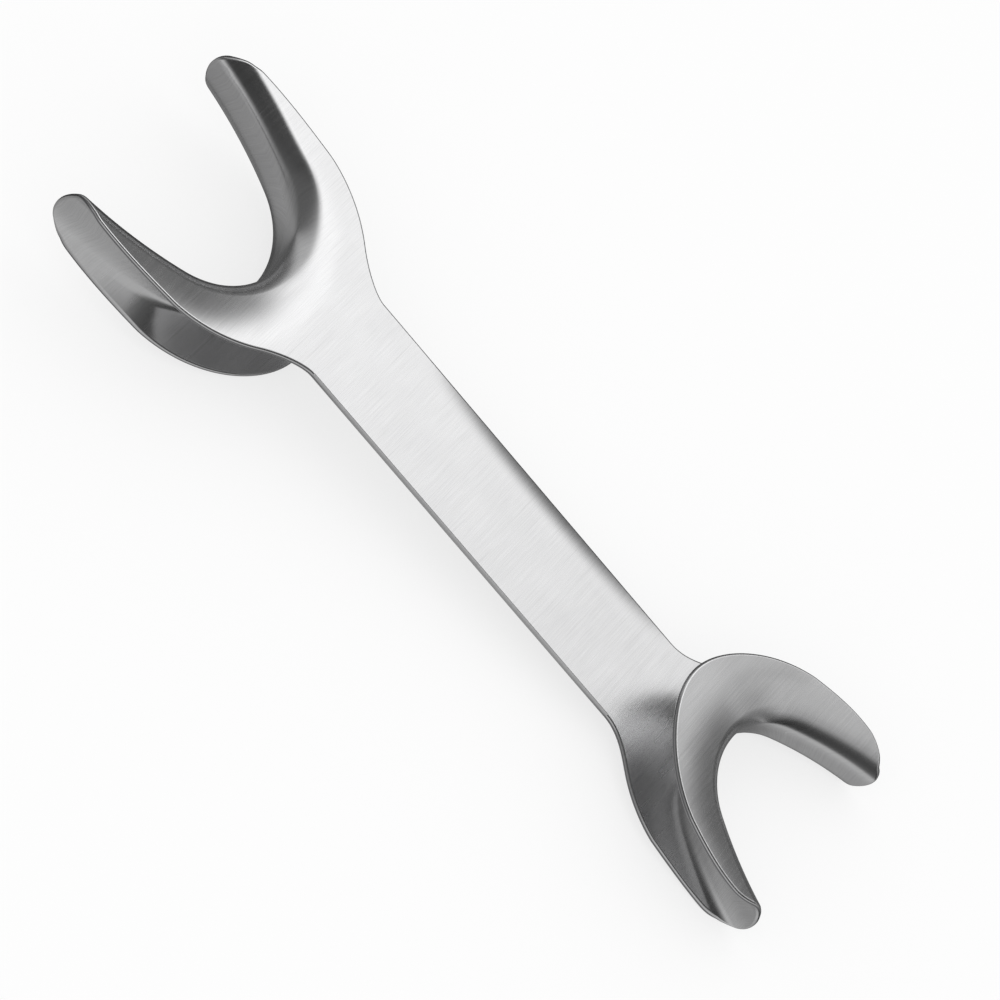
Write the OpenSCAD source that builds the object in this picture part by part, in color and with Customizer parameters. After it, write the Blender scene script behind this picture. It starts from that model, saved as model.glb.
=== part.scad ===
// Double-ended cheek retractor, pressed from one strip of stainless sheet.
// A flat handle carries a horseshoe hook at each end. Each hook is an open
// channel: a fork in the plane of the handle, a web that runs round the
// throat, and a curved flange that goes behind the lip. The two hooks face
// opposite ways: the large one is pressed down, the small one is pressed up.
// The retractor lies at rest on a surface at z = 0. +X points to the small end.

/* [Sheet] */
// Thickness of the sheet
sheet_t = 1.0; // [0.8:0.1:1.4]
// Radius of every fold, measured to the middle of the sheet
fold_r = 1.8; // [1.4:0.1:2.2]

/* [Handle] */
// Width of the handle where it meets the large fork
handle_w_large = 18.3; // [16:0.1:20]
// Width of the handle where it meets the small fork
handle_w_small = 17.9; // [16:0.1:20]
// Distance from mid-length to the neck of the large fork
neck_x_large = 29.5; // [28:0.5:30]
// Distance from mid-length to the neck of the small fork
neck_x_small = 36.5; // [35:0.5:37]

/* [Large end] */
// Distance from mid-length to the web at the bottom of the throat
large_throat_x = 43.5; // [43:0.5:46]
// Radius of the throat
large_throat_r = 15; // [14:0.5:16]
// Splay of each arm from the handle's axis where it leaves the throat
large_splay = 22; // [18:1:26]
// Length of each arm past the throat curve
large_arm = 20.3; // [18:0.1:22]
// Radius of the slight inward bow of each arm
large_arm_r = 75; // [60:5:200]
// Height of the web, between the middles of the two folds
large_gap = 10.6; // [9:0.1:13]
// Outward flare of the cheek flange
large_flare = 10; // [0:1:16]

/* [Small end] */
// Distance from mid-length to the web at the bottom of the throat
small_throat_x = 50.5; // [50:0.5:52]
// Radius of the throat
small_throat_r = 13; // [12:0.5:14]
// Splay of each arm from the handle's axis where it leaves the throat
small_splay = 29; // [24:1:32]
// Length of each arm past the throat curve
small_arm = 16.5; // [15:0.1:18]
// Radius of the slight inward bow of each arm
small_arm_r = 60; // [50:5:200]
// Height of the web, between the middles of the two folds
small_gap = 9.6; // [8.5:0.1:12]
// Outward flare of the cheek flange
small_flare = 10; // [0:1:16]

/* [Tips] */
// Length over which each arm tip is rounded off
tip_len = 6; // [4:0.5:7]

/* [Smoothness] */
// Stations along each half of a hook
n_arm = 30; // [20:1:36]
// Steps round each fold
n_fold = 5; // [3:1:6]

/* [Hidden] */
ht = sheet_t / 2;
n_tip = 8;
n_neck = 12;
sliver = 0.05;
// how softly the widths start from the throat, so that the rims have no corner
apex_r = 4;

// A hook is described in its own plane: x runs out from mid-length to the
// arm tips, y is sideways, z = 0 is the middle of the handle's sheet and the
// cheek flange lies at negative z.
// [0 throat x, 1 throat radius, 2 splay, 3 arm length, 4 arm radius, 5 gap,
//  6 flare, 7 cheek flange widths, 8 fork widths, 9 neck x, 10 half width of
//  the handle, 11 pull of the neck curve at the handle, 12 pull of the neck
//  curve at the fork, 13 where along the web the neck curve ends]
// The four widths run from the throat to the tip, measured out from the web.
LARGE = [large_throat_x, large_throat_r, large_splay, large_arm, large_arm_r,
         large_gap, large_flare, [12.5, 5.6, 4.2, 0.5], [13.3, 5.2, 4.2, 0.5],
         neck_x_large, handle_w_large / 2, 1.8, 3.5, 8.4];
SMALL = [small_throat_x, small_throat_r, small_splay, small_arm, small_arm_r,
         small_gap, small_flare, [11.8, 5.4, 7.7, 0.5], [13.7, 5.5, 4.2, 0.5],
         neck_x_small, handle_w_small / 2, 3.2, 2.2, 7.4];

// smooth blend of four values along 0..1
function blend4(b, t) = b[0] * pow(1 - t, 3) + 3 * b[1] * t * pow(1 - t, 2)
                      + 3 * b[2] * t * t * (1 - t) + b[3] * pow(t, 3);

// length of the throat arc and of the whole half web
function arc_len(e) = e[1] * (90 - e[2]) * PI / 180;
function half_len(e) = arc_len(e) + e[3];

// middle line of the web: heading, position and outward normal at distance u
function heading(e, u) = u <= arc_len(e) ? u / e[1] * 180 / PI
    : 90 - e[2] + (u - arc_len(e)) / e[4] * 180 / PI;
function web_x(e, u) = let (k = 90 - e[2])
    u <= arc_len(e) ? e[0] + e[1] * (1 - cos(heading(e, u)))
    : e[0] + e[1] * (1 - cos(k)) + e[4] * (cos(k) - cos(heading(e, u)));
function web_y(e, u) = let (k = 90 - e[2])
    u <= arc_len(e) ? e[1] * sin(heading(e, u))
    : e[1] * sin(k) + e[4] * (sin(heading(e, u)) - sin(k));

// distances along the folded sheet, measured from the middle of the web
function flat_half(e) = e[5] / 2 - fold_r;
function fold_angle(e, side) = side > 0 ? 90 : 90 - e[6];
function fold_end(e, side) = flat_half(e) + fold_r * fold_angle(e, side) * PI / 180;
function tip_round(e, u) = let (q = max(0, u - (half_len(e) - tip_len)) / tip_len)
    sqrt(max(0, 1 - q * q));
function along(e, u) = (sqrt(u * u + apex_r * apex_r) - apex_r)
    / (sqrt(pow(half_len(e), 2) + apex_r * apex_r) - apex_r);
function sheet_end(e, u, side) = tip_round(e, u) * (fold_end(e, side)
    + max(0, blend4(side > 0 ? e[8] : e[7], along(e, u)) - fold_r));

// a point of the folded section: v along the sheet from the middle of the
// web, off the offset from the middle of the sheet towards the throat side
function section(e, v, side, off) = let (
    a = min(max(0, (v - flat_half(e)) / fold_r * 180 / PI), fold_angle(e, side)),
    f = max(0, v - fold_end(e, side)))
    [fold_r * (1 - cos(a)) + f * sin(a) - off * cos(a),
     side * (min(v, flat_half(e)) + fold_r * sin(a) + f * cos(a) + off * sin(a)) - e[5] / 2];
function at(e, u, s) = let (w = abs(u), m = u < 0 ? -1 : 1, h = heading(e, w))
    [web_x(e, w) - cos(h) * s[0], m * (web_y(e, w) + sin(h) * s[0]), s[1]];

// where a flange runs out along the arm
function run_out(e, side, lo, hi, n = 24) = n == 0 ? lo
    : let (m = (lo + hi) / 2)
      sheet_end(e, m, side) > fold_end(e, side) + sliver
      ? run_out(e, side, m, hi, n - 1) : run_out(e, side, lo, m, n - 1);
function flange_len(e, side) = run_out(e, side, arc_len(e), half_len(e));

// stations along one half: the arm, the run-outs, then the rounded tip
function half_stations(e) = let (a = flange_len(e, 1), b = flange_len(e, -1),
    lo = min(a, b), hi = max(a, b), L = half_len(e), t0 = asin(max(0, hi - L + tip_len) / tip_len))
    concat([for (i = [1 : n_arm]) lo * i / n_arm],
           hi - lo > 0.02 ? [hi] : [],
           [for (i = [1 : n_tip]) L - tip_len + tip_len * sin(t0 + (87 - t0) * i / n_tip)]);
function mirrored(s) = concat([for (i = [len(s) - 1 : -1 : 0]) -s[i]], [0], s);
function upto(s, lim) = [for (v = s) if (v <= lim + 0.0001) v];

// closed skin over a row of equal rings; each ring runs along the throat
// side of the sheet and back along the channel side
function ring_faces(rows, n) = let (h = n / 2) concat(
    [for (r = [0 : rows - 2]) for (i = [0 : n - 1]) let (j = (i + 1) % n)
        each [[r * n + i, r * n + j, (r + 1) * n + j],
              [r * n + i, (r + 1) * n + j, (r + 1) * n + i]]],
    [for (i = [0 : h - 2]) each [[i, n - 1 - i, n - 2 - i], [i, n - 2 - i, i + 1]]],
    let (o = (rows - 1) * n)
    [for (i = [0 : h - 2]) each [[o + i, o + n - 2 - i, o + n - 1 - i],
                                 [o + i, o + i + 1, o + n - 2 - i]]]);
module skin(rings) {
    n = len(rings[0]);
    polyhedron(points = [for (r = rings) each r], faces = ring_faces(len(rings), n), convexity = 8);
}

// web with its two folds
function web_vs(e) = concat(
    [for (i = [n_fold : -1 : 0]) -(flat_half(e) + (fold_end(e, -1) - flat_half(e)) * i / n_fold)],
    [0],
    [for (i = [0 : n_fold]) flat_half(e) + (fold_end(e, 1) - flat_half(e)) * i / n_fold]);
function web_pt(e, u, v, off) = let (side = v < 0 ? -1 : 1,
    q = min(1, sheet_end(e, abs(u), side) / fold_end(e, side)))
    at(e, u, section(e, abs(v) * q, side, off));
function web_ring(e, u, vs) = concat([for (v = vs) web_pt(e, u, v, ht)],
    [for (i = [len(vs) - 1 : -1 : 0]) web_pt(e, u, vs[i], -ht)]);
module web(e) {
    vs = web_vs(e);
    skin([for (u = mirrored(half_stations(e))) web_ring(e, u, vs)]);
}

// flange that goes behind the cheek
function cheek_ring(e, u) = let (w = abs(u), a = fold_end(e, -1), b = sheet_end(e, w, -1))
    [at(e, u, section(e, b, -1, ht)), at(e, u, section(e, a, -1, ht)),
     at(e, u, section(e, a, -1, -ht)), at(e, u, section(e, b, -1, -ht))];
module cheek_flange(e) {
    us = mirrored(upto(half_stations(e), flange_len(e, -1)));
    skin([for (u = us) cheek_ring(e, u)]);
}

// fork in the plane of the handle, with concave neck curves
function fork_out(e, u) = let (p = at(e, u, [fold_r + sheet_end(e, abs(u), 1) - fold_end(e, 1), 0])) [p[0], p[1]];
function fork_in(e, u) = let (p = at(e, u, [fold_r, 0])) [p[0], p[1]];
function neck_curve(e) = let (p3 = fork_out(e, e[13]), q = fork_out(e, e[13] + 0.5),
    d = (q - p3) / norm(q - p3), p0 = [e[9], e[10]], p1 = p0 + [e[11], 0], p2 = p3 - d * e[12])
    [for (i = [0 : n_neck]) let (t = i / n_neck)
        [blend4([p0[0], p1[0], p2[0], p3[0]], t), blend4([p0[1], p1[1], p2[1], p3[1]], t)]];
function flip(p) = [for (i = [len(p) - 1 : -1 : 0]) [p[i][0], -p[i][1]]];
module yoke(e) {
    us = upto(half_stations(e), flange_len(e, 1));
    outer = concat(neck_curve(e), [for (u = us) if (u > e[13] + 0.4) fork_out(e, u)]);
    inner = [for (i = [len(us) - 1 : -1 : 0]) fork_in(e, us[i])];
    translate([0, 0, -ht]) linear_extrude(height = sheet_t)
        polygon(concat(inner, [fork_in(e, 0)], flip(inner), flip(outer), outer));
}

// resting position: the low rim of the large cheek flange and the two tips
// of the small fork touch the surface
rim = at(LARGE, 0, section(LARGE, sheet_end(LARGE, 0, -1), -1, ht));
toe = at(SMALL, flange_len(SMALL, 1), [fold_r, -ht]);
tilt = atan((toe[2] - rim[2]) / (toe[0] + rim[0]));
large_tip_x = web_x(LARGE, half_len(LARGE));
small_tip_x = web_x(SMALL, half_len(SMALL));
// both ends of the box in the resting position, for centring
x_hi = small_tip_x * cos(tilt) + small_gap / 2 * sin(tilt) + 0.1;
x_lo = -large_tip_x * cos(tilt) - large_gap / 2 * sin(tilt) - 0.1;
lift = -(-toe[0] * sin(tilt) + toe[2] * cos(tilt));
module at_rest() { translate([-(x_hi + x_lo) / 2, 0, lift]) rotate([0, tilt, 0]) children(); }
module large_side() { at_rest() rotate([0, 0, 180]) children(); }
module small_side() { at_rest() rotate([180, 0, 0]) children(); }

module handle() color([0.80, 0.81, 0.82])
    at_rest() translate([0, 0, -ht]) linear_extrude(height = sheet_t)
        polygon([[-neck_x_large, -handle_w_large / 2], [neck_x_small, -handle_w_small / 2],
                 [neck_x_small, handle_w_small / 2], [-neck_x_large, handle_w_large / 2]]);
module large_yoke() color([0.84, 0.85, 0.86]) large_side() yoke(LARGE);
module large_web() color([0.62, 0.63, 0.64]) large_side() web(LARGE);
module large_cheek_flange() color([0.72, 0.73, 0.74]) large_side() cheek_flange(LARGE);
module small_yoke() color([0.84, 0.85, 0.86]) small_side() yoke(SMALL);
module small_web() color([0.62, 0.63, 0.64]) small_side() web(SMALL);
module small_cheek_flange() color([0.72, 0.73, 0.74]) small_side() cheek_flange(SMALL);

handle();
large_yoke();
large_web();
large_cheek_flange();
small_yoke();
small_web();
small_cheek_flange();
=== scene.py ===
from math import asin, atan, cos, pi, radians, sin, sqrt

import bpy
from mathutils import Matrix, Vector


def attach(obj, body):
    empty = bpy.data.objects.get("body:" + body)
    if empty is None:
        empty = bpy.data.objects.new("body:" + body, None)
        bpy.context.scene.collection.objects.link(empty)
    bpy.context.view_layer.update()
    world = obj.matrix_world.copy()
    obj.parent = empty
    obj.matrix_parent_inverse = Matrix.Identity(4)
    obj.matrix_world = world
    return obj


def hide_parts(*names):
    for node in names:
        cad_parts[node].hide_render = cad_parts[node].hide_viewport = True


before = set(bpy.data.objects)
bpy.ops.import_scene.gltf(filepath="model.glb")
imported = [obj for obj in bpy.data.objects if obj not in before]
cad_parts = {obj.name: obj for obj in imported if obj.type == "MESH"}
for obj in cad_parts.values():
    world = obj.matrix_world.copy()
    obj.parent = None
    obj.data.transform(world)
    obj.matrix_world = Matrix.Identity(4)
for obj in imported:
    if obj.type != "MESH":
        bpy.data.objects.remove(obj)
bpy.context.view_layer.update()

# ------------------------------------------------------------------ dimensions
# Millimetres, by the same rules as the CAD part. u runs along the web, signed,
# from the throat's middle; v runs across the bent sheet, plate side positive.
T = 1.0            # sheet
HT = T / 2
FR = 1.8           # fold radius, at the middle of the sheet
TIP = 6.0          # rounding length of the arm tips
APEX = 4.0         # softness of the rims at the throat
EDGE = 0.38        # rounding of the cut edges
LARGE = dict(xa=43.5, R=15.0, sp=22.0, La=20.3, Ra=75.0, gap=10.6, fl=10.0,
             wc=(12.5, 5.6, 4.2, 0.5), wp=(13.3, 5.2, 4.2, 0.5),
             nx=29.5, hw=9.15, pa=1.8, pb=3.5, un=8.4,
             # lean of the sheet beside the folds: u, degrees, reach
             lean_p=((-38, 0, 1.5), (-20, 0.5, 2.0), (-13, 4, 3.5), (-6, 9, 5.5), (0, 13, 7.5),
                     (8, 17, 9.5), (16, 17, 11.0), (26, 17, 14.0), (38, 17, 16.0)),
             lean_c=((-38, 2, 2.5), (0, 3, 3.0), (38, 2, 2.5)),
             # how the bends really turn: side, weight along u, angle against distance
             press=((1, ((-38, 1), (-18, 1), (-4, 0.2), (0, 0), (38, 0)),
                     ((0, 0), (0.6, 6), (0.9, 16), (2.9, 38), (3.7, 50), (4.6, 62), (6.6, 84), (8.6, 90))),
                    (1, ((-38, 0), (-24, 0), (-12, 0.8), (-4, 0.8), (7, 0), (38, 0)),
                     ((-1.8, 0), (-0.7, 11), (0.4, 23), (1.7, 38), (3, 52), (4.4, 66), (6.2, 82), (8, 90))),
                    (-1, ((-38, 0.6), (38, 0.6)),
                     ((-14, 10), (-2, 12), (0, 18), (1.3, 38), (2.5, 65), (4, 82), (6, 90))),
                    (-1, ((-30, 1), (-22, 0.9), (-13, 0), (13, 0), (22, 0.9), (30, 1)),
                     ((-14, 57), (-3, 57), (0, 60), (1.5, 66), (3, 74), (5, 84), (8, 90)))))
SMALL = dict(xa=50.5, R=13.0, sp=29.0, La=16.5, Ra=60.0, gap=9.6, fl=10.0,
             wc=(11.8, 5.4, 7.7, 0.5), wp=(13.7, 5.5, 4.2, 0.5),
             nx=36.5, hw=8.95, pa=3.2, pb=2.2, un=7.4,
             lean_p=((-31, 3, 3.0), (0, 4, 3.5), (31, 3, 3.0)),
             lean_c=((-31, 2, 2.0), (-20, 3, 3.0), (-9, 12, 7.0), (0, 13, 8.0), (10, 8, 7.5), (31, 6, 4.5)),
             press=((-1, ((-31, 1), (-10, 1), (-3, 0.3), (0, 0), (31, 0)),
                     ((-5, 10), (-1, 11), (0, 12), (0.9, 15), (1.3, 20), (3.0, 42), (4.0, 56), (5.2, 75),
                      (6.3, 88), (8, 90))),
                    (1, ((-31, 0), (-4, 0), (4, 0.8), (10, 1), (31, 1)),
                     ((-2.8, 0), (-1.8, 4), (-0.7, 14), (0.5, 30), (1.6, 46), (2.8, 60), (4, 72), (5.2, 82), (7, 90)))),
             dish=(4.5, 37.0, 8.0, -6.0, 12.0))   # degrees, from x, over, from y, over


def blend4(b, t):
    return b[0]*(1-t)**3 + 3*b[1]*t*(1-t)**2 + 3*b[2]*t*t*(1-t) + b[3]*t**3


def mix_table(rows, x):
    for a, b in zip(rows, rows[1:]):
        if x <= b[0]:
            t = min(1.0, max(0.0, (x - a[0])/(b[0] - a[0]))); t = t*t*(3 - 2*t)
            return tuple(p + (q - p)*t for p, q in zip(a[1:], b[1:]))
    return rows[-1][1:]


def mix_line(rows, x):
    for a, b in zip(rows, rows[1:]):
        if x <= b[0]:
            return a[1] + (b[1] - a[1])*(x - a[0])/(b[0] - a[0])
    return rows[-1][1]


def arc_len(e): return e["R"]*radians(90 - e["sp"])
def half_len(e): return arc_len(e) + e["La"]
def curv(e, w): return 1/e["R"] if w <= arc_len(e) else 1/e["Ra"]


def heading(e, w):
    a = arc_len(e)
    return w/e["R"] if w <= a else radians(90 - e["sp"]) + (w - a)/e["Ra"]


def web_xy(e, w):
    k, h = radians(90 - e["sp"]), heading(e, w)
    if w <= arc_len(e):
        return e["xa"] + e["R"]*(1 - cos(h)), e["R"]*sin(h)
    return (e["xa"] + e["R"]*(1 - cos(k)) + e["Ra"]*(cos(k) - cos(h)),
            e["R"]*sin(k) + e["Ra"]*(sin(h) - sin(k)))


def flat_half(e): return e["gap"]/2 - FR
def fold_angle(e, s): return pi/2 if s > 0 else pi/2 - radians(e["fl"])
def fold_end(e, s): return flat_half(e) + FR*fold_angle(e, s)


def tip_round(e, w):
    q = max(0.0, w - (half_len(e) - TIP))/TIP
    return sqrt(max(0.0, 1 - q*q))


def along(e, w):
    return (sqrt(w*w + APEX*APEX) - APEX)/(sqrt(half_len(e)**2 + APEX*APEX) - APEX)


def sheet_end(e, w, s):
    b = blend4(e["wp"] if s > 0 else e["wc"], along(e, w))
    return tip_round(e, w)*(fold_end(e, s) + max(0.0, b - FR))


def resting():
    """How the part lies on a table: tilt about Y, shift along X, lift."""
    def run_out(e, s):
        lo, hi = arc_len(e), half_len(e)
        for _ in range(40):
            m = (lo + hi)/2
            if sheet_end(e, m, s) > fold_end(e, s) + 0.05: lo = m
            else: hi = m
        return lo
    a, f = fold_angle(LARGE, -1), sheet_end(LARGE, 0, -1) - fold_end(LARGE, -1)
    rim_x = web_xy(LARGE, 0)[0] - (FR*(1 - cos(a)) + f*sin(a) - HT*cos(a))
    rim_z = -(flat_half(LARGE) + FR*sin(a) + f*cos(a) + HT*sin(a)) - LARGE["gap"]/2
    w = run_out(SMALL, 1)
    toe_x = web_xy(SMALL, w)[0] - cos(heading(SMALL, w))*FR
    tilt = atan((-HT - rim_z)/(toe_x + rim_x))
    hi = web_xy(SMALL, half_len(SMALL))[0]*cos(tilt) + SMALL["gap"]/2*sin(tilt) + 0.1
    lo = -web_xy(LARGE, half_len(LARGE))[0]*cos(tilt) - LARGE["gap"]/2*sin(tilt) - 0.1
    return tilt, -(hi + lo)/2, toe_x*sin(tilt) + HT*cos(tilt)


TILT, SHIFT, LIFT = resting()
REST = Matrix.Translation((SHIFT, 0, LIFT)) @ Matrix.Rotation(TILT, 4, "Y")
M_LARGE = REST @ Matrix.Rotation(pi, 4, "Z")
M_SMALL = REST @ Matrix.Rotation(pi, 4, "X")

RINGS = [pi/2*k/5 for k in range(6)]        # round the cut edge, the last is the face
K = len(RINGS) - 1


def ring_d(a): return EDGE*(1 - cos(a))


# --------------------------------------------------------------- sheet to mesh
class Sheet:
    """Points on the middle of a sheet of thickness T, and the faces between
    them by zone. mesh() gives a zone both its faces and its walls, so each
    zone is a closed solid and neighbouring zones share their walls exactly."""

    def __init__(self, place):
        self.place, self.faces = place, []
        self.p, self.n, self.h, self.nt, self.nb, self.grain, self.brush, self.cut = [], [], [], [], [], [], [], []

    def add(self, p, n, ring=None, out=None, soft=None, grain=(1, 0, 0), brush=(0, 0)):
        h, c, s = (HT, 0.0, 1.0) if ring is None else (HT - EDGE + EDGE*sin(ring), cos(ring), sin(ring))
        n = Vector(n); m = Vector(soft) if soft is not None else n
        o = Vector(out) if out is not None else Vector((0, 0, 0))
        self.p.append(Vector(p)); self.n.append(n); self.h.append(h)
        self.nt.append((m*s + o*c).normalized()); self.nb.append((-m*s + o*c).normalized())
        self.grain.append(Vector(grain)); self.brush.append(brush)
        self.cut.append(1.0 if ring == 0.0 else 0.0)
        return len(self.p) - 1

    def quad(self, zone, *ids):
        ids = [v for k, v in enumerate(ids) if v != ids[k - 1]]
        if len(ids) > 2:
            self.faces.append((zone, ids))

    def mesh(self, name, zone):
        faces = [f for z, f in self.faces if z == zone]
        rot = self.place.to_3x3()
        used, co, grain, brush, cut, polys, normals, sides = {}, [], [], [], [], [], [], set()

        def vid(i, top):
            if (i, top) not in used:
                used[(i, top)] = len(co)
                co.append(self.place @ (self.p[i] + self.n[i]*(self.h[i] if top else -self.h[i]))*0.001)
                grain.append(rot @ self.grain[i])
                brush.append((self.brush[i][0], self.brush[i][1], 0.0 if top else 40.0))
                cut.append(self.cut[i])
            return used[(i, top)]

        for f in faces:
            sides.update(zip(f, f[1:] + f[:1]))
            polys.append([vid(i, True) for i in f]); normals += [rot @ self.nt[i] for i in f]
            polys.append([vid(i, False) for i in reversed(f)]); normals += [rot @ self.nb[i] for i in reversed(f)]
        for a, b in sorted(sides):
            if (b, a) in sides:
                continue
            if max(self.h[a], self.h[b]) < HT - EDGE + 1e-6:        # the cut edge
                na, nb = self.nt[a], self.nt[b]
            else:                                                   # where two zones meet
                na = (self.p[b] - self.p[a]).cross(self.n[a] + self.n[b])
                na = nb = na.normalized() if na.length > 1e-9 else self.nt[a]
            polys.append([vid(b, True), vid(a, True), vid(a, False), vid(b, False)])
            normals += [rot @ nb, rot @ na, rot @ na, rot @ nb]
        me = bpy.data.meshes.new(name)
        me.from_pydata([tuple(c) for c in co], [], polys)
        me.update()
        me.polygons.foreach_set("use_smooth", [True]*len(me.polygons))
        for key, data in (("grain", grain), ("brush", brush)):
            at = me.attributes.new(key, "FLOAT_VECTOR", "POINT")
            at.data.foreach_set("vector", [c for v in data for c in v])
        me.attributes.new("cut", "FLOAT", "POINT").data.foreach_set("value", cut)
        me.normals_split_custom_set([tuple(n) for n in normals])
        ob = bpy.data.objects.new(name, me)
        bpy.context.scene.collection.objects.link(ob)
        return ob


class Hook:
    """One end of the retractor in its own frame: web, lip flange and forked plate."""
    NF, NW, NC = 9, 6, 12                      # columns: each fold, the web, each flange

    def __init__(self, e, place):
        self.e, self.s, self.edge = e, Sheet(place), {}
        self.build()

    def frame_at(self, u, v):
        """Point, throat-side normal, directions along u and v, stretch along u."""
        e = self.e
        side, w, m = (1 if v >= 0 else -1), abs(u), (-1 if u < 0 else 1)
        a = min(max(0.0, (abs(v) - flat_half(e))/FR), fold_angle(e, side))
        f = max(0.0, abs(v) - fold_end(e, side))
        n = FR*(1 - cos(a)) + f*sin(a)
        z = side*(min(abs(v), flat_half(e)) + FR*sin(a) + f*cos(a)) - e["gap"]/2
        x, y = web_xy(e, w); h = heading(e, w)
        away = Vector((-cos(h), m*sin(h), 0)); tu = Vector((m*sin(h), cos(h), 0))
        P = Vector((x - cos(h)*n, m*(y + sin(h)*n), z))
        N = -away*cos(a) + Vector((0, 0, side*sin(a)))
        tv = away*(sin(a)*side) + Vector((0, 0, cos(a)))
        return P, N, tu, tv, 1 + n*curv(e, w)

    def dish(self, x, y):
        """Shading-normal tilt for a little dish of the plate on one side where it leaves the handle; the mesh itself
        stays flat.
        """
        if "dish" not in self.e: return 0.0
        deg, x0, dx, y0, dy = self.e["dish"]
        p, q = min(1.0, max(0.0, (x - x0)/dx)), min(1.0, max(0.0, (y - y0)/dy))
        return radians(deg)*p*p*(3 - 2*p)*q*q*(3 - 2*q)

    def lean(self, u, v):
        """The normal after the few degrees that pressing leaves beside the folds."""
        e, side = self.e, (1 if v >= 0 else -1)
        P, N, tu, tv, g = self.frame_at(u, v)
        a = min(max(0.0, (abs(v) - flat_half(e))/FR), fold_angle(e, side))/fold_angle(e, side)
        f = max(0.0, abs(v) - fold_end(e, side))
        deg, reach = mix_table(e["lean_p" if side > 0 else "lean_c"], u)
        k = radians(deg)*(a if a < 1 else 0.5 + 0.5*cos(pi*min(1.0, f/reach)))
        N = (N*cos(k) - tv*side*sin(k)).normalized()
        if side > 0: N = (N - Vector((0, 1, 0))*sin(self.dish(P.x, P.y)*a)).normalized()
        into = Vector((cos(heading(e, abs(u))), -sin(heading(e, abs(u)))*(-1 if u < 0 else 1), 0))
        for s, weights, turn in e["press"]:
            c, w = fold_end(e, s) - v*s, mix_table(weights, u)[0]
            if w > 0 and turn[0][0] < c < turn[-1][0]:
                th = radians(mix_line(turn, c))
                fade = min(1.0, (c - turn[0][0])/1.5, (turn[-1][0] - c)/0.8)
                P = into*sin(th) + Vector((0, 0, s*cos(th)))
                N = (N*(1 - w*fade) + P*(w*fade)).normalized()
        return N

    def point(self, u, v, ring=None, out=None):
        e, side = self.e, (1 if v >= 0 else -1)
        P, N, tu, tv, g = self.frame_at(u, v)
        w, m = abs(u), (-1 if u < 0 else 1)
        h, (x, y) = heading(e, w), web_xy(e, w)
        a = min(1.0, max(0.0, (abs(v) - flat_half(e))/FR/fold_angle(e, side)))
        q = min(0.0, abs(v) - flat_half(e)) + FR*a + max(0.0, abs(v) - fold_end(e, side))
        return self.s.add(P, N, ring, out, self.lean(u, v), tu*(m*sin(h)) - tv*side*cos(h),
                          (x - cos(h)*q, m*(y + sin(h)*q)))

    def build(self):
        e, S, NF, NW, NC = self.e, self.s, self.NF, self.NW, self.NC
        M, U, un = 2*NF + NW, half_len(e), e["un"]
        end_phi = radians(66)

        def field_edge(u, s):                   # |v| where the flat face ends
            d = 0.02
            slope = (sheet_end(e, abs(u) + d, s) - sheet_end(e, abs(u) - d, s))/(2*d)
            g = self.frame_at(u, s*sheet_end(e, abs(u), s))[4]
            return sheet_end(e, abs(u), s) - EDGE/sqrt(1 + (slope/g)**2)

        def run_out(s):
            lo, hi = arc_len(e), U - 1.5
            for _ in range(50):
                m = (lo + hi)/2
                if field_edge(m, s) > fold_end(e, s): lo = m
                else: hi = m
            return (lo + hi)/2

        uk = {s: run_out(s) for s in (1, -1)}
        lo, hi = min(uk.values()), max(uk.values())
        a0 = asin((lo - U + TIP)/TIP) if lo > U - TIP else 0.0
        st = [lo*i/72 for i in range(73)]
        st += [x for x in (U - TIP + TIP*sin(a0 + (end_phi - a0)*i/18) for i in range(1, 19))
               if abs(x - hi) > 0.08 and x > lo + 0.05]
        if hi - lo > 0.02: st.append(hi)
        st = sorted(st)
        full = [-x for x in reversed(st[1:])] + st
        nf = len(full)

        def tip_pts(m):
            out = []
            for j in range(M + 1):
                t = j/M*2 - 1
                s = -1 if t < 0 else 1
                ph = end_phi + (pi/2 - end_phi)*(1 - abs(t))
                out.append((m*(U - TIP + TIP*sin(ph)), s*cos(ph)*fold_end(e, s)))
            return out

        # the whole cut edge as one loop: cheek side out, tip, plate side back, tip
        loop = [(u, -sheet_end(e, abs(u), -1)) for u in full] + tip_pts(1)
        loop += [(u, sheet_end(e, abs(u), 1)) for u in reversed(full)] + list(reversed(tip_pts(-1)))
        nl = len(loop)
        ring = {}
        for i in range(nl):
            (ua, va), (ub, vb), (u, v) = loop[i - 1], loop[(i + 1) % nl], loop[i]
            P, N, tu, tv, g = self.frame_at(u, v)
            du, dv = (ub - ua)*g, vb - va
            L = sqrt(du*du + dv*dv)
            nu, nv = -dv/L, du/L                # into the sheet, left of travel
            ring[i] = (u, v, nu, nv, g)

        def inner_uv(i):
            u, v, nu, nv, g = ring[i]
            return u + nu*EDGE/g, v + nv*EDGE

        def edge(i):
            i %= nl
            if i not in self.edge:
                u, v, nu, nv, g = ring[i]
                col = []
                for k, r in enumerate(RINGS):
                    uu, vv = u + nu*ring_d(r)/g, v + nv*ring_d(r)
                    P, N, tu, tv, _ = self.frame_at(uu, vv)
                    col.append(self.point(uu, vv, r if k < K else None, -(tu*nu + tv*nv)))
                self.edge[i] = col
            return self.edge[i]

        def strip(zone, i, j):
            a, b = edge(i), edge(j)
            for k in range(K):
                S.quad(zone, a[k], b[k], b[k + 1], a[k + 1])

        def zone_of(u, s):
            return ("cheek" if s < 0 else "yoke") if abs(u) < uk[s] else "web"

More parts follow.
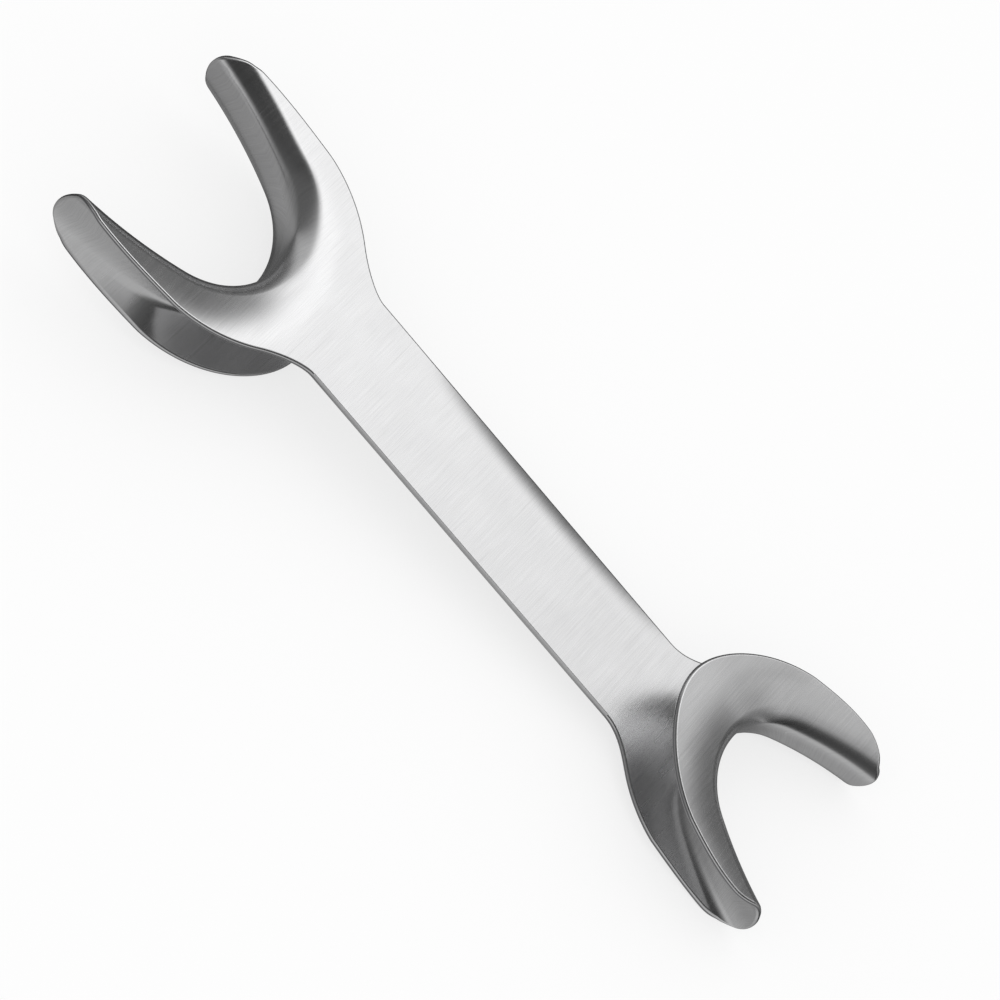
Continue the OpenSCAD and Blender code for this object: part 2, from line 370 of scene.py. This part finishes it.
        e1, p0 = nf, nf + M + 1
        e0 = p0 + nf
        plate = lambda k: p0 + nf - 1 - k
        for k in range(nf - 1):
            um = (full[k] + full[k + 1])/2
            strip(zone_of(um, -1), k, k + 1)
            if abs(um) > un - 1e-9:
                strip(zone_of(um, 1), plate(k + 1), plate(k))
        for i in [nf - 1] + list(range(e1, e1 + M + 1)) + [plate(0)] + list(range(e0, e0 + M + 1)):
            strip("web", i, i + 1)

        # the web and both folds, one row per station
        def web_row(k):
            (cu, cv), (pu, pv) = inner_uv(k), inner_uv(plate(k))
            in_root = abs(full[k]) < un - 1e-9
            if in_root: pu = full[k]
            fc, fp, fh = fold_end(e, -1), fold_end(e, 1), flat_half(e)
            on_c, on_p = -cv <= fc + 1e-5, pv <= fp + 1e-5 and not in_root
            qc, qp = min(-cv, fc)/fc, (1.0 if in_root else min(pv, fp)/fp)
            vs = [-(fc + (fh - fc)*i/NF)*qc for i in range(NF)]
            vs += [-fh*qc + fh*(qc + qp)*i/NW for i in range(NW + 1)]
            vs += [(fh + (fp - fh)*(i + 1)/NF)*qp for i in range(NF)]
            row = [self.point(cu + (pu - cu)*j/M, v) if 0 < j < M else None for j, v in enumerate(vs)]
            row[0] = edge(k)[K] if on_c else self.point(cu, -fc)
            row[M] = edge(plate(k))[K] if on_p else self.point(pu, fp)
            return row

        rows = [web_row(k) for k in range(nf)]
        rows = [[edge(e0 + M - j)[K] for j in range(M + 1)]] + rows + [[edge(e1 + j)[K] for j in range(M + 1)]]
        for a, b in zip(rows, rows[1:]):
            for j in range(M):
                S.quad("web", a[j], b[j], b[j + 1], a[j + 1])
        rows = rows[1:-1]

        # the flanges outside the folds
        def flange(s, k):
            i = k if s < 0 else plate(k)
            start = rows[k][0 if s < 0 else M]
            u, v = inner_uv(i)
            root = s > 0 and abs(full[k]) < un - 1e-9
            if root: u, v = full[k], sheet_end(e, abs(full[k]), 1) - EDGE
            if abs(v) <= fold_end(e, s) + 1e-5:
                return [start]*(NC + 1)
            f = fold_end(e, s)
            col = [start] + [self.point(u, s*(f + (abs(v) - f)*(c/NC)**1.25)) for c in range(1, NC)]
            return col + [self.point(u, v) if root else edge(i)[K]]

        k_in = [k for k in range(nf) if abs(full[k]) < un - 1e-9]
        k_lo, k_hi = k_in[0] - 1, k_in[-1] + 1
        virtual = []
        for s, zone in ((-1, "cheek"), (1, "yoke")):
            prev = None
            for k in range(nf):
                if abs(full[k]) > uk[s] + 1e-6:
                    continue
                col = flange(s, k)
                if s > 0 and k_lo <= k <= k_hi: virtual.append(col[NC])
                if prev:
                    for c in range(NC):
                        q = (prev[c], prev[c + 1], col[c + 1], col[c])
                        S.quad(zone, *(q if s < 0 else q[::-1]))
                prev = col

        # the neck: a curve from the arm's edge to the handle's side
        def plate_edge(u):
            P = self.frame_at(u, sheet_end(e, abs(u), 1))[0]
            return Vector((P.x, P.y))
        uh = full[k_hi]
        p3 = plate_edge(uh); d = (plate_edge(uh + 0.3) - p3).normalized()
        p0_, p1, p2 = Vector((e["nx"], e["hw"])), Vector((e["nx"] + e["pa"], e["hw"])), p3 - d*e["pb"]

        def neck(m):
            out = []
            for i in range(20):
                t = i/20
                c = p0_*(1-t)**3 + p1*(3*t*(1-t)**2) + p2*(3*t*t*(1-t)) + p3*t**3
                g = ((p1 - p0_)*(1-t)**2 + (p2 - p1)*(2*t*(1-t)) + (p3 - p2)*t*t).normalized()
                o = Vector((-g.y, g.x))
                col = []
                for k, r in enumerate(RINGS):
                    q = c - o*ring_d(r)
                    if i == 0: q.x = e["nx"]
                    col.append(S.add((q.x, m*q.y, 0), (0, 0, 1), r if k < K else None,
                                     (o.x, m*o.y, 0), (0, -sin(self.dish(q.x, m*q.y)), 1),
                                     brush=(q.x, m*q.y)))
                out.append(col)
            return out

        pos, neg = neck(1), neck(-1)
        for chain in ([edge(plate(k_hi))] + pos[::-1], neg + [edge(plate(k_lo))]):
            for a, b in zip(chain, chain[1:]):
                for k in range(K):
                    S.quad("yoke", a[k], b[k], b[k + 1], a[k + 1])
        outer = [c[K] for c in neg[::-1]] + [c[K] for c in pos]
        inner = virtual
        i, j = 0, 0
        outer = [inner[0]] + outer + [inner[-1]]
        dist = lambda a, b: (S.p[a] - S.p[b]).length
        while i < len(inner) - 1 or j < len(outer) - 1:
            if j == len(outer) - 1 or (i < len(inner) - 1 and
                                       dist(inner[i + 1], outer[j]) <= dist(inner[i], outer[j + 1])):
                S.quad("yoke", inner[i], inner[i + 1], outer[j]); i += 1
            else:
                S.quad("yoke", inner[i], outer[j + 1], outer[j]); j += 1


def handle_sheet():
    S = Sheet(REST)
    rows = []
    for i in range(49):
        t = i/48
        x = -LARGE["nx"] + (SMALL["nx"] + LARGE["nx"])*t
        hw = LARGE["hw"] + (SMALL["hw"] - LARGE["hw"])*t
        ys = [(-(hw - ring_d(r)), r, -1) for r in RINGS]
        ys += [((hw - EDGE)*(2*c/28 - 1), None, 0) for c in range(1, 28)]
        ys += [(hw - ring_d(r), r, 1) for r in reversed(RINGS)]
        row = []
        for y, r, o in ys:                      # one long edge is eased a little more
            k = radians(17)*max(0.0, 1 - (hw - y)/4.8)**1.6*max(0.0, sin(pi*min(1, max(0, (x + 20)/58))))**0.7
            row.append(S.add((x, y, 0), (0, 0, 1), r if r is not None and r < pi/2 - 1e-6 else None,
                             (0, o, 0), soft=(0, sin(k), cos(k)), brush=(x, y)))
            if o < 0 and r < pi/2 - 1e-6:   # the other one gets the normals of a well rounded edge, and its darker cut-edge colour is taken back towards the middle as a painted highlight
                q = radians(90 - 32*r/(pi/2)); i = row[-1]
                S.nt[i], S.nb[i] = Vector((0, -sin(q), cos(q))), Vector((0, -sin(q), -cos(q)))
                # painted highlight: less of the darker cut-edge colour along the middle of this edge
                S.cut[i] *= 0.15 + 0.85*abs(2*t - 1)**3
        rows.append(row)
    for a, b in zip(rows, rows[1:]):
        for j in range(len(a) - 1):
            S.quad("handle", a[j], b[j], b[j + 1], a[j + 1])
    return S


big, tiny, bar = Hook(LARGE, M_LARGE), Hook(SMALL, M_SMALL), handle_sheet()
pieces = {
    "handle": bar.mesh("retractor_handle", "handle"),
    "large_yoke": big.s.mesh("retractor_large_yoke", "yoke"),
    "large_web": big.s.mesh("retractor_large_web", "web"),
    "large_cheek_flange": big.s.mesh("retractor_large_cheek_flange", "cheek"),
    "small_yoke": tiny.s.mesh("retractor_small_yoke", "yoke"),
    "small_web": tiny.s.mesh("retractor_small_web", "web"),
    "small_cheek_flange": tiny.s.mesh("retractor_small_cheek_flange", "cheek"),
}


# ------------------------------------------------------------------- materials
def node(nt, kind, **props):
    n = nt.nodes.new(kind)
    for k, v in props.items(): setattr(n, k, v)
    return n


def link(nt, a, b): nt.links.new(a, b)


def noise(nt, src, scale, detail, rough=0.55):
    mp = node(nt, "ShaderNodeMapping"); mp.inputs["Scale"].default_value = scale
    nz = node(nt, "ShaderNodeTexNoise"); nz.inputs["Scale"].default_value = 1.0
    nz.inputs["Detail"].default_value = detail; nz.inputs["Roughness"].default_value = rough
    link(nt, src, mp.inputs["Vector"]); link(nt, mp.outputs[0], nz.inputs["Vector"])
    return nz.outputs["Fac"]


def ramp(nt, src, stops):
    r = node(nt, "ShaderNodeValToRGB"); cr = r.color_ramp
    while len(cr.elements) < len(stops): cr.elements.new(0.5)
    for el, (pos, val) in zip(cr.elements, stops):
        el.position = pos; el.color = (val, val, val, 1) if isinstance(val, (int, float)) else (*val, 1)
    link(nt, src, r.inputs[0])
    return r.outputs[0]


def math(nt, op, a, b, c=None):
    n = node(nt, "ShaderNodeMath", operation=op)
    for i, v in enumerate((a, b, c)):
        if v is None: continue
        if isinstance(v, (int, float)): n.inputs[i].default_value = v
        else: link(nt, v, n.inputs[i])
    return n.outputs[0]


def steel(name, lines, rough):
    """Stainless sheet brushed across its length: fine long scratches, a few
    deeper ones, and a slow unevenness of the finish."""
    m = bpy.data.materials.new(name); m.use_nodes = True
    nt = m.node_tree
    for n in list(nt.nodes): nt.nodes.remove(n)
    out, b = node(nt, "ShaderNodeOutputMaterial"), node(nt, "ShaderNodeBsdfPrincipled")
    link(nt, b.outputs[0], out.inputs[0])
    b.inputs["Metallic"].default_value = 1.0
    b.inputs["Anisotropic"].default_value = 0.55
    at = node(nt, "ShaderNodeAttribute", attribute_name="brush")
    gr = node(nt, "ShaderNodeAttribute", attribute_name="grain")
    link(nt, gr.outputs["Vector"], b.inputs["Tangent"])
    v = at.outputs["Vector"]
    hair = noise(nt, v, (6.0, 0.14, 1), 4.0, 0.65)          # hairlines, 0.1 to 0.2 mm apart
    mid = noise(nt, v, (1.7, 0.07, 1), 3.0, 0.6)
    cloud = noise(nt, v, (0.09, 0.14, 1), 2.0, 0.5)         # slow unevenness
    scratch = noise(nt, v, (2.9, 0.045, 1), 1.0, 0.4)
    deep = ramp(nt, scratch, ((0.0, 0.0), (0.62, 0.0), (0.74, 1.0)))
    tone = math(nt, "MULTIPLY_ADD", hair, 0.6, math(nt, "MULTIPLY_ADD", mid, 0.4,
                math(nt, "MULTIPLY_ADD", cloud, 0.35, math(nt, "MULTIPLY", deep, -0.12*lines))))
    col = ramp(nt, tone, ((0.30, (0.66, 0.66, 0.665)), (0.675, (0.80, 0.80, 0.805)), (1.0, (0.92, 0.92, 0.925))))
    ct = node(nt, "ShaderNodeAttribute", attribute_name="cut")
    dull = node(nt, "ShaderNodeMix", data_type="RGBA", blend_type="MULTIPLY")
    dull.inputs["B"].default_value = (0.42, 0.42, 0.43, 1)      # the sheared edge is darker; where this weight is taken back along the handle's -Y edge, that is a painted highlight
    link(nt, math(nt, "POWER", ct.outputs["Fac"], 3.0), dull.inputs["Factor"]); link(nt, col, dull.inputs["A"])
    link(nt, dull.outputs["Result"], b.inputs["Base Color"])
    rg = math(nt, "MULTIPLY_ADD", mid, 0.10, math(nt, "MULTIPLY_ADD", cloud, 0.06, rough - 0.08))
    link(nt, rg, b.inputs["Roughness"])
    hgt = math(nt, "MULTIPLY_ADD", mid, 1.0, math(nt, "MULTIPLY", deep, -0.08))
    bp = node(nt, "ShaderNodeBump"); bp.inputs["Strength"].default_value = 0.12*lines
    bp.inputs["Distance"].default_value = 0.0000025
    link(nt, hgt, bp.inputs["Height"]); link(nt, bp.outputs[0], b.inputs["Normal"])
    return m


flat_steel = steel("brushed_stainless_flat", 1.0, 0.26)
formed_steel = steel("brushed_stainless_formed", 1.0, 0.25)
for key, ob in pieces.items():
    flat = key in ("handle", "large_yoke", "small_yoke")
    ob.data.materials.append(flat_steel if flat else formed_steel)
    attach(ob, "root")
    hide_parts(key)

# ----------------------------------------------------------------------- stage
me = bpy.data.meshes.new("floor")
me.from_pydata([(-3, -3, 0), (3, -3, 0), (3, 3, 0), (-3, 3, 0)], [], [(0, 1, 2, 3)])
floor = bpy.data.objects.new("floor", me)
bpy.context.scene.collection.objects.link(floor)
fm = bpy.data.materials.new("floor_white"); fm.use_nodes = True
fm.node_tree.nodes["Principled BSDF"].inputs["Base Color"].default_value = (0.25, 0.25, 0.25, 1)
fm.node_tree.nodes["Principled BSDF"].inputs["Roughness"].default_value = 0.9
fm.node_tree.nodes["Principled BSDF"].inputs["Specular IOR Level"].default_value = 0.0
fm.node_tree.nodes["Principled BSDF"].inputs["Emission Color"].default_value = (1, 1, 1, 1)
fm.node_tree.nodes["Principled BSDF"].inputs["Emission Strength"].default_value = 0.72
me.materials.append(fm)
floor.visible_glossy = False

# The studio: one broad soft box behind the object, a dark ceiling and camera
# side, a pale strip low in front and a grey table, seen in the steel only.
# Everything else is lit by an even white dome.
w = bpy.data.worlds.new("studio"); bpy.context.scene.world = w; w.use_nodes = True
nt = w.node_tree
for n in list(nt.nodes): nt.nodes.remove(n)
tc = node(nt, "ShaderNodeTexCoord")
R3 = REST.to_3x3()


def along_axis(v):
    d = node(nt, "ShaderNodeVectorMath", operation="DOT_PRODUCT")
    link(nt, tc.outputs["Generated"], d.inputs[0]); d.inputs[1].default_value = R3 @ Vector(v)
    return d.outputs["Value"]


ax, ay, az = along_axis((1, 0, 0)), along_axis((0, 1, 0)), along_axis((0, 0, 1))
phi = math(nt, "MULTIPLY_ADD", math(nt, "ARCTAN2", az, ay), 1/(2*pi), 0.5)
WEST = (
    (-180, 0.44), (-168, 0.44), (-150, 0.36), (-125, 0.28), (-95, 0.26), (-80, 0.18), (-65, 0.10),
    (-30, 0.08), (-10, 0.06), (6, 0.10), (20, 0.15), (26, 0.16), (33, 0.24), (40, 0.78), (46, 1.32), (70, 1.32),
    (75, 0.85), (81, 0.08), (92, 0.04), (132, 0.045), (146, 0.22), (158, 0.60), (172, 0.60), (180, 0.44))
EAST = (
    (-180, 0.46), (-168, 0.50), (-150, 0.42), (-125, 0.36), (-95, 0.28), (-65, 0.16), (-10, 0.12),
    (6, 0.10), (20, 0.18), (28, 0.38), (40, 0.92), (45, 1.18), (50, 1.08), (53, 1.0), (57, 0.82),
    (64, 0.78), (69, 0.80), (74, 0.62), (84, 0.42), (92, 0.14), (110, 0.11), (124, 0.15), (140, 0.20),
    (152, 0.32), (163, 0.58), (172, 0.60), (180, 0.46))
FAR = (
    (-180, 0.19), (-168, 0.20), (-150, 0.26), (-125, 0.30), (-95, 0.28), (-80, 0.22), (-65, 0.11),
    (-10, 0.08), (6, 0.10), (20, 0.15), (26, 0.16), (33, 0.19), (40, 0.34), (46, 0.50), (68, 0.46),
    (75, 0.28), (81, 0.16), (92, 0.11), (132, 0.11), (146, 0.14), (158, 0.17), (172, 0.18), (180, 0.19))
POWER = 1.3


def profile(rows):
    return ramp(nt, phi, [((d + 180)/360, v/POWER) for d, v in rows])


ease = node(nt, "ShaderNodeMapRange", interpolation_type="SMOOTHSTEP")
ease.inputs["From Min"].default_value, ease.inputs["From Max"].default_value = 0.06, 0.20
link(nt, ax, ease.inputs["Value"])
both = node(nt, "ShaderNodeMix", data_type="RGBA")
link(nt, ease.outputs[0], both.inputs["Factor"])
link(nt, profile(EAST), both.inputs["B"])
ease2 = node(nt, "ShaderNodeMapRange", interpolation_type="SMOOTHSTEP")
ease2.inputs["From Min"].default_value, ease2.inputs["From Max"].default_value = -0.45, -0.20
link(nt, ax, ease2.inputs["Value"])
west = node(nt, "ShaderNodeMix", data_type="RGBA")
link(nt, ease2.outputs[0], west.inputs["Factor"])
link(nt, profile(FAR), west.inputs["A"]); link(nt, profile(WEST), west.inputs["B"])
link(nt, west.outputs["Result"], both.inputs["A"])
side_lo = ramp(nt, math(nt, "MULTIPLY_ADD", ax, 0.5, 0.5), [((d + 1)/2, v) for d, v in ((-1.0, 1.0), (-0.3, 1.0), (0.04, 1.0), (0.08, 0.955), (0.12, 0.895), (0.2, 0.81), (0.35, 0.68),
    (0.47, 0.60), (0.6, 0.42), (0.76, 0.24), (1.0, 0.2))])
up_f = node(nt, "ShaderNodeMapRange", interpolation_type="SMOOTHSTEP")
up_f.inputs["From Min"].default_value, up_f.inputs["From Max"].default_value = -0.05, 0.35
link(nt, az, up_f.inputs["Value"])
side = node(nt, "ShaderNodeMix", data_type="RGBA")
side.inputs["A"].default_value = (1, 1, 1, 1)
link(nt, up_f.outputs[0], side.inputs["Factor"]); link(nt, side_lo, side.inputs["B"])
mul = node(nt, "ShaderNodeMix", data_type="RGBA", blend_type="MULTIPLY"); mul.inputs["Factor"].default_value = 1.0
link(nt, both.outputs["Result"], mul.inputs["A"]); link(nt, side.outputs["Result"], mul.inputs["B"])
gloss, dome = node(nt, "ShaderNodeBackground"), node(nt, "ShaderNodeBackground")
link(nt, mul.outputs["Result"], gloss.inputs["Color"]); gloss.inputs["Strength"].default_value = POWER
dome.inputs["Color"].default_value = (1, 1, 1, 1); dome.inputs["Strength"].default_value = 1.06
lp, mx, wo = node(nt, "ShaderNodeLightPath"), node(nt, "ShaderNodeMixShader"), node(nt, "ShaderNodeOutputWorld")
link(nt, lp.outputs["Is Glossy Ray"], mx.inputs["Fac"])
link(nt, dome.outputs[0], mx.inputs[1]); link(nt, gloss.outputs[0], mx.inputs[2])
link(nt, mx.outputs[0], wo.inputs["Surface"])
w.cycles.sampling_method = "NONE"

# ---------------------------------------------------------------------- camera
# As fitted in the flat plate's own frame, then carried to the resting pose.
AZ, EL, ROLL, DIST, FPX, TX, TY = -12.355, 52.0, 59.301, 767.349, 5244.903, 3.181, -1.016
a, el, r = radians(AZ), radians(EL), radians(ROLL)
back = Vector((sin(a)*cos(el), -cos(a)*cos(el), sin(el)))
right = Vector((cos(a), sin(a), 0)); up = back.cross(right)
R_, U_ = right*cos(r) + up*sin(r), -right*sin(r) + up*cos(r)
C_ = back*DIST + R_*TX + U_*TY
cm = Matrix.Identity(4)
for i in range(3):
    cm[i][0], cm[i][1], cm[i][2], cm[i][3] = R_[i], U_[i], back[i], C_[i]
cm = REST @ cm
cm.translation = cm.translation*0.001
cam = bpy.data.cameras.new("camera")
cam.sensor_width, cam.lens = 36.0, FPX/1000*36.0
cam.clip_start, cam.clip_end = 0.05, 20
camera = bpy.data.objects.new("camera", cam)
camera.matrix_world = cm
bpy.context.scene.collection.objects.link(camera)
bpy.context.scene.camera = camera
bpy.context.scene.view_settings.view_transform = "Standard"
